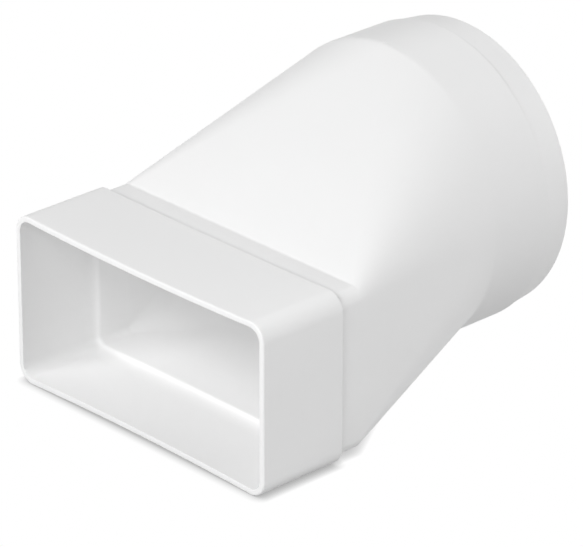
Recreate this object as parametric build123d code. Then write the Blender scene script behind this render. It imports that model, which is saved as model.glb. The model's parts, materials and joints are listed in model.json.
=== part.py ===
from build123d import *
from math import atan2, tan
import os

# Flat-to-round duct transition, moulded in one piece.
# Millimetres. The origin is the middle of the flat socket's mouth, X runs
# across the flat duct, Y runs from the mouth to the round end and Z is up.

# Flat duct that the socket takes
duct_width = 110.0
duct_height = 54.0
duct_clearance = 0.3  # free play between the duct and each socket wall

# Socket and neck
wall = 2.0
socket_depth = 31.0  # how far the duct goes in before it meets the stop ledge
stop_ledge = 1.8  # height of the ledge above the socket's inner walls
neck_corner_radius = 2.4  # inner corner of the neck
neck_length = 9.4

# Transition and round end
transition_length = 63.5
spigot_diameter = 101.0
spigot_length = 23.0  # straight part of the spigot
spigot_wall = 2.6
lead_in_length = 11.0  # tapered part at the spigot's tip
lead_in_step = 0.3  # small shoulder where the taper starts
tip_wall = 1.0

# Rounded and bevelled edges
rim_round = 0.75
shoulder_bevel = 0.7  # at the shoulder's crest and at its root
ledge_crest_bevel = 0.5
ledge_root_bevel = 1.2  # the ledge slopes up out of the socket's walls
tip_bevel = 0.3
trimmed_share = 0.95  # most of a narrow face that its trimmed edges may take

quarter_turn = 90

# Inner outlines of the socket and the neck
socket_width = duct_width + 2 * duct_clearance
socket_height = duct_height + 2 * duct_clearance
socket_corner_radius = neck_corner_radius + stop_ledge
neck_width = socket_width - 2 * stop_ledge
neck_height = socket_height - 2 * stop_ledge

# Radii of the round end
spigot_radius = spigot_diameter / 2
bore_radius = spigot_radius - spigot_wall
tip_radius = bore_radius + tip_wall

# Places along the fitting, measured from the mouth
shoulder_at = socket_depth + wall
crease_at = shoulder_at + neck_length
junction_at = crease_at + transition_length
lead_in_at = junction_at + spigot_length
tip_at = lead_in_at + lead_in_length

# The round end is raised until its underside is level with the neck's
neck_underside = -(neck_height / 2 + wall)
axis_rise = neck_underside + spigot_radius

# Moving the inner transition back keeps the sloping roof as thick as the neck
roof_rise = 2 * (spigot_radius + neck_underside)
roof_slope = atan2(roof_rise, transition_length)
inner_setback = wall * tan(roof_slope / 2)

# The passage is cut past both open ends
overrun = wall


def section(at):
    """Plane across the fitting at a distance from the mouth."""
    return Plane(origin=(0, at, 0), x_dir=(-1, 0, 0), z_dir=(0, 1, 0))


def limited(face_width, *edge_sizes):
    """Sizes of a narrow face's trimmed edges, made smaller where they would take it all."""
    scale = min(1, face_width * trimmed_share / sum(edge_sizes))
    return [size * scale for size in edge_sizes]


def flat_length(width, height, corner, start, end):
    """Rounded rectangular length."""
    return extrude(section(start) * RectangleRounded(width, height, corner), amount=end - start)


def stepped_length(wide, narrow, start, step, end, wide_bevel, narrow_bevel):
    """Wide and narrow lengths in a row, with both edges of the step bevelled."""
    wide_bevel, narrow_bevel = limited(stop_ledge, wide_bevel, narrow_bevel)
    wide_length = flat_length(*wide, start, step)
    far_face = wide_length.faces().sort_by(Axis.Y)[-1]
    length = chamfer(far_face.edges(), wide_bevel) + flat_length(*narrow, step, end)
    start_face, step_face, end_face = length.faces().filter_by(Axis.Y).sort_by(Axis.Y)
    return length.chamfer(narrow_bevel, None, step_face.inner_wires().edges())


def square_to_round(width, height, corner, start, radius, end):
    """Transition with four flat triangles and four oblique cone quarters.

    Each rounded corner is ruled to a quarter of the circle through points that
    face the same way, so the cones run smoothly into the flats beside them.
    """
    side = width / 2 - corner
    rise = height / 2 - corner
    corner_centres = [(side, rise), (-side, rise), (-side, -rise), (side, -rise)]
    corner_arcs = []
    round_arcs = []
    for quarter, centre in enumerate(corner_centres):
        turn = (quarter * quarter_turn, quarter_turn)
        corner_arcs.append(section(start) * CenterArc(centre, corner, *turn))
        round_arcs.append(section(end) * CenterArc((0, axis_rise), radius, *turn))
    cones = []
    flats = []
    bases = []
    for quarter, corner_arc in enumerate(corner_arcs):
        round_arc = round_arcs[quarter]
        next_corner_arc = corner_arcs[(quarter + 1) % len(corner_arcs)]
        base = Line(corner_arc @ 1, next_corner_arc @ 0)
        bases.append(base)
        cones.append(Face.make_surface_from_curves(corner_arc, round_arc))
        flats.append(make_face(Polyline(base @ 0, base @ 1, round_arc @ 1, close=True)).face())
    ends = [make_face(corner_arcs + bases).face(), make_face(round_arcs).face()]
    return Solid(Shell(cones + flats + ends))


def round_length(*profile):
    """Length turned about the round end's axis from radius and place pairs."""
    axis = Axis((0, 0, axis_rise), (0, 1, 0))
    corners = [(radius, at, axis_rise) for radius, at in profile]
    on_axis = [(0, profile[-1][1], axis_rise), (0, profile[0][1], axis_rise)]
    return revolve(make_face(Polyline(*corners, *on_axis, close=True)), axis)


def outer_form():
    """Outside of the fitting, still solid."""
    socket = (socket_width + 2 * wall, socket_height + 2 * wall, socket_corner_radius + wall)
    neck = (neck_width + 2 * wall, neck_height + 2 * wall, neck_corner_radius + wall)
    flat_end = stepped_length(socket, neck, 0, shoulder_at, crease_at, shoulder_bevel, shoulder_bevel)
    transition = square_to_round(*neck, crease_at, spigot_radius, junction_at)
    spigot = round_length(
        (spigot_radius, junction_at),
        (spigot_radius, lead_in_at),
        (spigot_radius - lead_in_step, lead_in_at),
        (tip_radius, tip_at),
    )
    return flat_end + transition + spigot


def passage():
    """Air passage from the mouth to the round tip."""
    socket = (socket_width, socket_height, socket_corner_radius)
    neck = (neck_width, neck_height, neck_corner_radius)
    inner_crease_at = crease_at + inner_setback
    inner_junction_at = junction_at + inner_setback
    flat_end = stepped_length(
        socket, neck, -overrun, socket_depth, inner_crease_at, ledge_root_bevel, ledge_crest_bevel
    )
    transition = square_to_round(*neck, inner_crease_at, bore_radius, inner_junction_at)
    bore = round_length((bore_radius, inner_junction_at), (bore_radius, tip_at + overrun))
    return flat_end + transition + bore


def duct_transition():
    """The whole fitting, with a rounded mouth and a bevelled tip."""
    body = outer_form() - passage()
    mouth_rim = body.faces().sort_by(Axis.Y)[0]
    body = fillet(mouth_rim.edges(), min(limited(wall, rim_round, rim_round)))
    tip_rim = body.faces().sort_by(Axis.Y)[-1]
    return chamfer(tip_rim.edges(), min(limited(tip_wall, tip_bevel, tip_bevel)))


os.makedirs("parts", exist_ok=True)
export_step(duct_transition(), "parts/duct_transition.step")
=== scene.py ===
import json
import math
import bmesh
import bpy
import numpy as np
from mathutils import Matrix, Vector


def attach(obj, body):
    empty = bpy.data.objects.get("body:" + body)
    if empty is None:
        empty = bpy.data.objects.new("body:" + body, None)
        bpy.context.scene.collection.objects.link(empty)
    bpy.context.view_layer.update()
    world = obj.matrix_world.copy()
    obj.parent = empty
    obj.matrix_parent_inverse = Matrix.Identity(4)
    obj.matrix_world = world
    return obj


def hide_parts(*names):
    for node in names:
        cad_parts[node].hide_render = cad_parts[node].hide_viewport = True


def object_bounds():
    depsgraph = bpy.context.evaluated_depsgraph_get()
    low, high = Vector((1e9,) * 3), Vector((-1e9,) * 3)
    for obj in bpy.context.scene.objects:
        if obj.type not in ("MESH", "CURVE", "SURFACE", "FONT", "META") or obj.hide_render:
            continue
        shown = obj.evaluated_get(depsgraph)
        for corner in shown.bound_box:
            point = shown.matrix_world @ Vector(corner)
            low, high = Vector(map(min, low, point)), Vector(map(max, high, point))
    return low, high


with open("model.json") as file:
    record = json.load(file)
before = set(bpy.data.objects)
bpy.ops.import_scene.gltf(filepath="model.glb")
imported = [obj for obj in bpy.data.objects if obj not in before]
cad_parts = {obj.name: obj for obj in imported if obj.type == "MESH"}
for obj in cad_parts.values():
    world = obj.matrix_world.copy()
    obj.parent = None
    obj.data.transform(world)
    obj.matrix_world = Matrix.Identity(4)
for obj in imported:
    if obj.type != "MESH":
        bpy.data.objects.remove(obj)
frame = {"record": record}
cadLow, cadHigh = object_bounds()
spigot = next(mount for mount in frame["record"]["mounts"] if mount["name"] == "round_spigot")
millimetre = 0.001
cubicCentimetre = 0.000001
quarterTurn = math.pi / 2
print("frame loaded, box", [round(v, 4) for v in (*cadLow, *cadHigh)])


class Signal:  # a shader socket that can stand in a Python sum
    def __init__(self, tree, socket):
        self.tree = tree
        self.socket = socket

    def combine(self, operation, first, second):
        node = self.tree.nodes.new("ShaderNodeMath")
        node.operation = operation
        feed(self.tree, node.inputs[0], first)
        feed(self.tree, node.inputs[1], second)
        return Signal(self.tree, node.outputs[0])

    def __add__(self, other):
        return self.combine("ADD", self, other)

    def __radd__(self, other):
        return self.combine("ADD", other, self)

    def __sub__(self, other):
        return self.combine("SUBTRACT", self, other)

    def __rsub__(self, other):
        return self.combine("SUBTRACT", other, self)

    def __mul__(self, other):
        return self.combine("MULTIPLY", self, other)

    def __rmul__(self, other):
        return self.combine("MULTIPLY", other, self)


def feed(tree, socket, value):  # a link where the value is a signal, else a fixed value
    if isinstance(value, Signal):
        tree.links.new(value.socket, socket)
    else:
        socket.default_value = value


class Nodes:  # node tree of a material or a world
    def __init__(self, owner):
        owner.use_nodes = True
        self.tree = owner.node_tree
        self.tree.nodes.clear()

    def add(self, kind, settings, sockets, output=0):
        node = self.tree.nodes.new(kind)
        for name, value in settings.items():
            setattr(node, name, value)
        for name, value in sockets.items():
            feed(self.tree, node.inputs[name], value)
        return Signal(self.tree, node.outputs[output] if len(node.outputs) else None)

    def mixColour(self, factor, first, second):  # the node's colour sockets are 6, 7 and, going out, 2
        return self.add("ShaderNodeMix", {"data_type": "RGBA"}, {0: factor, 6: first, 7: second}, 2)

    def mixShader(self, factor, first, second):
        return self.add("ShaderNodeMixShader", {}, {0: factor, 1: first, 2: second})

    def seenDirectly(self):  # 1 for what the camera sees straight, in a reflection or through glass
        path = {name: self.add("ShaderNodeLightPath", {}, {}, name)
                for name in ("Is Camera Ray", "Is Glossy Ray", "Is Transmission Ray")}
        return path["Is Camera Ray"] + path["Is Glossy Ray"] + path["Is Transmission Ray"]


# Satin white moulded plastic
plasticLook = {
    "paleTone": (0.900, 0.900, 0.900, 1),
    "deepTone": (0.880, 0.880, 0.880, 1),
    "roughness": 0.48,
    "roughnessSpread": 0.10,
    "ior": 1.48,
    "cloudsPerMetre": 38,     # broad, faint flow marks of the moulding
    "cloudsDetail": 3,
    "peelPerMetre": 900,      # gentle waviness of the tool's polish
    "peelDetail": 1,
    "grainPerMetre": 4200,    # fine satin grain
    "grainDetail": 2,
    "noiseMiddle": 0.5,
    "cloudsShare": 0.7,       # of the uneven roughness, where the grain has the rest
    "peelShare": 0.6,         # of the relief, where the grain has the rest
    "bumpDepth": 0.00002,
    "bumpStrength": 0.35,
}


def satinPlastic(look):
    material = bpy.data.materials.new("satinWhitePlastic")
    nodes = Nodes(material)
    place = nodes.add("ShaderNodeTexCoord", {}, {}, "Object")

    def noise(mark):
        scale, detail = look[mark + "PerMetre"], look[mark + "Detail"]
        return nodes.add("ShaderNodeTexNoise", {}, {"Vector": place, "Scale": scale, "Detail": detail}, "Fac")

    def withGrain(marks, share):
        return marks * share + grain * (1 - share)

    clouds, peel, grain = noise("clouds"), noise("peel"), noise("grain")
    tone = nodes.mixColour(clouds, look["deepTone"], look["paleTone"])
    unevenness = withGrain(clouds, look["cloudsShare"]) - look["noiseMiddle"]
    relief = nodes.add("ShaderNodeBump", {}, {
        "Strength": look["bumpStrength"],
        "Distance": look["bumpDepth"],
        "Height": withGrain(peel, look["peelShare"]),
    })
    shader = nodes.add("ShaderNodeBsdfPrincipled", {}, {
        "Base Color": tone,
        "Roughness": look["roughness"] + look["roughnessSpread"] * unevenness,
        "IOR": look["ior"],
        "Normal": relief,
    })
    nodes.add("ShaderNodeOutputMaterial", {}, {"Surface": shader})
    return material


# The fitting, metres. What the frame gives is read from it further down.
fittingShape = {
    "wall": 0.0020,
    "socketDepth": 0.0310,       # mouth to stop ledge
    "stopLedge": 0.0018,
    "neckLength": 0.0094,
    "neckCorner": 0.0024,        # inner corner of the neck
    "spigotWall": 0.0026,
    "leadInStep": 0.0003,
    "tipWall": 0.0010,
    "mouthDish": 0.00094,        # how far the long walls sink in, halfway along the mouth
    "shoulderDish": 0.40,        # share of that at the socket's inner end
    "neckDish": 0.25,            # and at the neck
    "rimRound": 0.0007,
    "rimInnerRound": 0.00025,
    "shoulderRound": 0.00055,
    "shoulderFillet": 0.0010,    # at the shoulder's root
    "creaseRound": 0.0005,
    "junctionRound": 0.0012,
    "ledgeRamp": 0.0020,         # how far the ledge's foot lies in front of its crest
    "ledgeRound": 0.00065,
    "ledgeFillet": 0.0018,       # at the ledge's foot
    "ledgeStretch": 2.4,         # the fillet's reach along the socket's walls, over that up the ledge
    "stepRound": 0.0001,
    "tipRound": 0.0003,
    "cornerSteps": 24,
    "longSteps": 24,
    "shortSteps": 8,
    "roundSteps": 8,
    "supportGap": 0.00015,       # flat strip beside each rounded edge
    "supportShare": 0.02,        # and the most of a face that it takes
    "mergeDistance": 0.000001,
}


# One lap round the wall: a quarter turn at each corner, then a straight run to
# the next. Each column is an angle and the sides its corner centre lies on.
def lapColumns(shape):
    turn = np.linspace(0, quarterTurn, shape["cornerSteps"] + 1)
    corners = [(1, 1), (-1, 1), (-1, -1), (1, -1)]
    angle, sideX, sideZ = [], [], []
    for quarter, (x, z) in enumerate(corners):
        nextX, nextZ = corners[(quarter + 1) % len(corners)]
        runSteps = shape["longSteps"] if nextX != x else shape["shortSteps"]
        share = np.linspace(0, 1, runSteps + 1)[1:-1]
        angle += [turn + quarter * quarterTurn, np.full(share.shape, (quarter + 1) * quarterTurn)]
        sideX += [np.full(turn.shape, x), x + (nextX - x) * share]
        sideZ += [np.full(turn.shape, z), z + (nextZ - z) * share]
    return np.concatenate(angle), np.concatenate(sideX), np.concatenate(sideZ)


# Each row of the table is a rounded rectangle across Y: corner centre plus
# corner radius times (cos, sin). Where half width, half height and corner are
# equal it is a circle. The long walls sink by the dish times one minus the
# side squared.
def wallRings(table, columns):
    place, halfWidth, halfHeight, corner, centre, dish = table.T[..., None]
    angle, sideX, sideZ = columns
    x = sideX * (halfWidth - corner) + corner * np.cos(angle)
    z = centre + sideZ * (halfHeight - corner) + corner * np.sin(angle)
    z = z - dish * (1 - sideX ** 2) * np.sin(angle)
    return np.stack([x, np.broadcast_to(place, x.shape), z], axis=-1)


# Each corner of the wall's outline becomes a parabola that leaves one leg and
# joins the next at the given reach, with a flat strip on both sides of it. The
# stretch makes the reach along the next leg longer.
def roundedOutline(rings, reach, stretch, shape):
    before = np.roll(rings, 1, axis=0) - rings
    after = np.roll(rings, -1, axis=0) - rings
    beforeLength = np.linalg.norm(before, axis=-1, keepdims=True)
    afterLength = np.linalg.norm(after, axis=-1, keepdims=True)
    before, after = before / beforeLength, after / afterLength
    reach, stretch = reach[:, None, None], stretch[:, None, None]
    gapBefore = np.minimum(shape["supportGap"], shape["supportShare"] * beforeLength)
    gapAfter = np.minimum(shape["supportGap"], shape["supportShare"] * afterLength)
    along = np.linspace(0, 1, shape["roundSteps"] + 1)[:, None, None]
    legEnds = (rings + reach * before, rings, rings + reach * stretch * after)
    start, middle, end = [points[:, None] for points in legEnds]
    curve = (1 - along) ** 2 * start + 2 * along * (1 - along) * middle + along ** 2 * end
    rows = np.concatenate([start + (gapBefore * before)[:, None], curve,
                           end + (gapAfter * after)[:, None]], axis=1)
    return rows.reshape(-1, *rings.shape[1:])


# The wall is a closed surface: rows follow its outline from the mouth along
# the outside to the tip and back inside, and columns go once round.
def ductWall(shape):
    wall, ledge, neckCorner = shape["wall"], shape["stopLedge"], shape["neckCorner"]
    radius = spigot["dims"]["r_mm"] * millimetre
    bore = radius - shape["spigotWall"]
    rise = spigot["pos_m"][2]

    def flat(inset, corner):  # half width, half height, corner and height of a flat outline
        return cadHigh.x - inset, -cadLow.z - inset, corner, 0.0

    def circle(half):
        return half, half, half, rise

    def edge(place, form, rounding, dish=0, stretch=1):
        return place, *form, dish, rounding, stretch

    outerSocket = flat(0, neckCorner + ledge + wall)
    innerSocket = flat(wall, neckCorner + ledge)
    outerNeck = flat(ledge, neckCorner + wall)
    innerNeck = flat(ledge + wall, neckCorner)

    # Places along the fitting
    halfStraight = spigot["dims"]["length_mm"] * millimetre / 2
    junctionAt = spigot["pos_m"][1] - halfStraight
    leadInAt = spigot["pos_m"][1] + halfStraight
    tipAt = cadHigh.y
    ledgeAt = shape["socketDepth"]
    ledgeFoot = ledgeAt - shape["ledgeRamp"]
    shoulderAt = ledgeAt + wall
    creaseAt = shoulderAt + shape["neckLength"]
    neckTop = -cadLow.z - ledge
    roofSlope = math.atan2(rise + radius - neckTop, junctionAt - creaseAt)
    setback = wall * math.tan(roofSlope / 2)  # keeps the sloping roof as thick as the neck

    mouth = shape["mouthDish"]
    shoulder, neck = mouth * shape["shoulderDish"], mouth * shape["neckDish"]
    table = np.array([
        edge(0, outerSocket, shape["rimRound"], mouth),
        edge(shoulderAt, outerSocket, shape["shoulderRound"], shoulder),
        edge(shoulderAt, outerNeck, shape["shoulderFillet"], neck),
        edge(creaseAt, outerNeck, shape["creaseRound"]),
        edge(junctionAt, circle(radius), shape["junctionRound"]),
        edge(leadInAt, circle(radius), shape["stepRound"]),
        edge(leadInAt, circle(radius - shape["leadInStep"]), shape["stepRound"]),
        edge(tipAt, circle(bore + shape["tipWall"]), shape["tipRound"]),
        edge(tipAt, circle(bore), shape["tipRound"]),
        edge(junctionAt + setback, circle(bore), shape["junctionRound"]),
        edge(creaseAt + setback, innerNeck, shape["creaseRound"]),
        edge(ledgeAt, innerNeck, shape["ledgeRound"], neck),
        edge(ledgeFoot, innerSocket, shape["ledgeFillet"], shoulder, shape["ledgeStretch"]),
        edge(0, innerSocket, shape["rimInnerRound"], mouth),
    ])
    rings = wallRings(table[:, :-2], lapColumns(shape))
    return roundedOutline(rings, table[:, -2], table[:, -1], shape)


def newObject(name, data):
    made = bpy.data.objects.new(name, data)
    bpy.context.scene.collection.objects.link(made)
    return made


# A grid that closes on itself both ways, with doubled points merged
def closedGrid(name, points, material, mergeDistance):
    rows, columns = points.shape[:2]
    index = np.arange(rows * columns).reshape(rows, columns)
    nextRow = np.roll(index, -1, axis=0)
    quads = np.stack([index, nextRow, np.roll(nextRow, -1, axis=1), np.roll(index, -1, axis=1)], axis=-1)
    mesh = bpy.data.meshes.new(name)
    mesh.from_pydata(points.reshape(-1, 3).tolist(), [], quads.reshape(-1, 4).tolist())
    build = bmesh.new()
    build.from_mesh(mesh)
    bmesh.ops.remove_doubles(build, verts=build.verts[:], dist=mergeDistance)
    volume = build.calc_volume(signed=True) / cubicCentimetre
    print(f"{name}: {len(build.faces)} faces, volume {volume:.2f} cm3")
    build.to_mesh(mesh)
    build.free()
    mesh.shade_smooth()
    mesh.materials.append(material)
    return newObject(name, mesh)


plastic = satinPlastic(plasticLook)
fitting = closedGrid("ductFitting", ductWall(fittingShape), plastic, fittingShape["mergeDistance"])
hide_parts("duct_transition")
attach(fitting, "root")
print("fitting done")


# Floor with a painted contact shadow, and light
studio = {
    "floorHalf": 4.0,
    "floorTone": (0.50, 0.50, 0.50, 1),  # lights the fitting from below, and isn't seen
    "openTone": (1, 1, 1, 1),            # of the floor as it is seen
    "shadeTone": (0.36, 0.36, 0.36, 1),  # painted shadow: the seen floor's tone where the fitting closes it in
    "shadeReach": 0.0032,                # how far from the fitting the painted shadow reaches
    "shadeSamples": 16,
    "roomLight": 0.15,
    "backdrop": 1.0,                     # white
    "lampAim": (0.0, 0.06, 0.02),
    "lampDistance": 1.2,
    "lampSize": 0.60,
    "lamps": [  # name, degrees from the mouth's side towards +X, elevation, watts
        ("frontBox", -15, 36, 8.2),
        ("rightBox", 30, 30, 5.8),
        ("sideBox", 105, 8, 3.8),
        ("backBox", 165, 36, 1.8),
        ("lowBackBox", 165, 8, 4.0),
        ("leftBackBox", -150, 36, 1.7),
    ],
}


def lookAt(piece, aim, azimuth, elevation, distance):  # a lamp or the camera, off in that direction
    turn, tilt = math.radians(azimuth), math.radians(elevation)
    away = Vector((math.sin(turn) * math.cos(tilt), -math.cos(turn) * math.cos(tilt), math.sin(tilt)))
    piece.location = Vector(aim) + away * distance
    piece.rotation_euler = away.to_track_quat("Z", "Y").to_euler()


# Square sheet under the fitting, seen from above only
def paleFloor(look):
    half = look["floorHalf"]
    corners = np.array([(-half, -half), (half, -half), (half, half), (-half, half)])
    points = np.column_stack([corners, np.full(len(corners), cadLow.z)])
    mesh = bpy.data.meshes.new("floor")
    mesh.from_pydata(points.tolist(), [], [range(len(corners))])
    material = bpy.data.materials.new("paleFloor")
    nodes = Nodes(material)
    matt = nodes.add("ShaderNodeBsdfDiffuse", {}, {"Color": look["floorTone"]})
    # The floor as seen is an emission whose colour darkens near the fitting by ambient occlusion: a painted
    # contact shadow in place of the lamps' shadows
    openness = nodes.add("ShaderNodeAmbientOcclusion", {"samples": look["shadeSamples"]},
                         {"Distance": look["shadeReach"]}, "AO")
    paintedShadow = nodes.mixColour(openness, look["shadeTone"], look["openTone"])
    bright = nodes.add("ShaderNodeEmission", {}, {"Color": paintedShadow})
    shown = nodes.mixShader(nodes.seenDirectly(), matt, bright)
    clear = nodes.add("ShaderNodeBsdfTransparent", {}, {})
    below = nodes.add("ShaderNodeNewGeometry", {}, {}, "Backfacing")
    oneSided = nodes.mixShader(below, shown, clear)
    nodes.add("ShaderNodeOutputMaterial", {}, {"Surface": oneSided})
    mesh.materials.append(material)
    newObject("floor", mesh)


def softLight(look):
    world = bpy.data.worlds.new("softRoom")
    bpy.context.scene.world = world
    nodes = Nodes(world)
    room = nodes.add("ShaderNodeBackground", {}, {"Strength": look["roomLight"]})
    white = nodes.add("ShaderNodeBackground", {}, {"Strength": look["backdrop"]})
    shown = nodes.mixShader(nodes.seenDirectly(), room, white)
    nodes.add("ShaderNodeOutputWorld", {}, {"Surface": shown})
    for name, azimuth, elevation, watts in look["lamps"]:
        lamp = bpy.data.lights.new(name, "AREA")
        lamp.size = look["lampSize"]
        lamp.energy = watts
        lookAt(newObject(name, lamp), look["lampAim"], azimuth, elevation, look["lampDistance"])


paleFloor(studio)
softLight(studio)
print("floor and light done")

# Camera
photoView = {
    "azimuth": 46.84,           # degrees from the mouth's side towards +X
    "elevation": 25.27,
    "aim": (0.0024, 0.0629, 0.0080),
    "distance": 1.4868,
    "lens": 290.9,
    "nearest": 0.05,
    "farthest": 50,
}


def photoCamera(view):
    data = bpy.data.cameras.new("camera")
    data.lens = view["lens"]
    data.clip_start, data.clip_end = view["nearest"], view["farthest"]
    camera = newObject("camera", data)
    lookAt(camera, view["aim"], view["azimuth"], view["elevation"], view["distance"])
    bpy.context.scene.camera = camera


photoCamera(photoView)
bpy.context.scene.view_settings.view_transform = "Standard"
print("camera done")

bpy.context.view_layer.update()
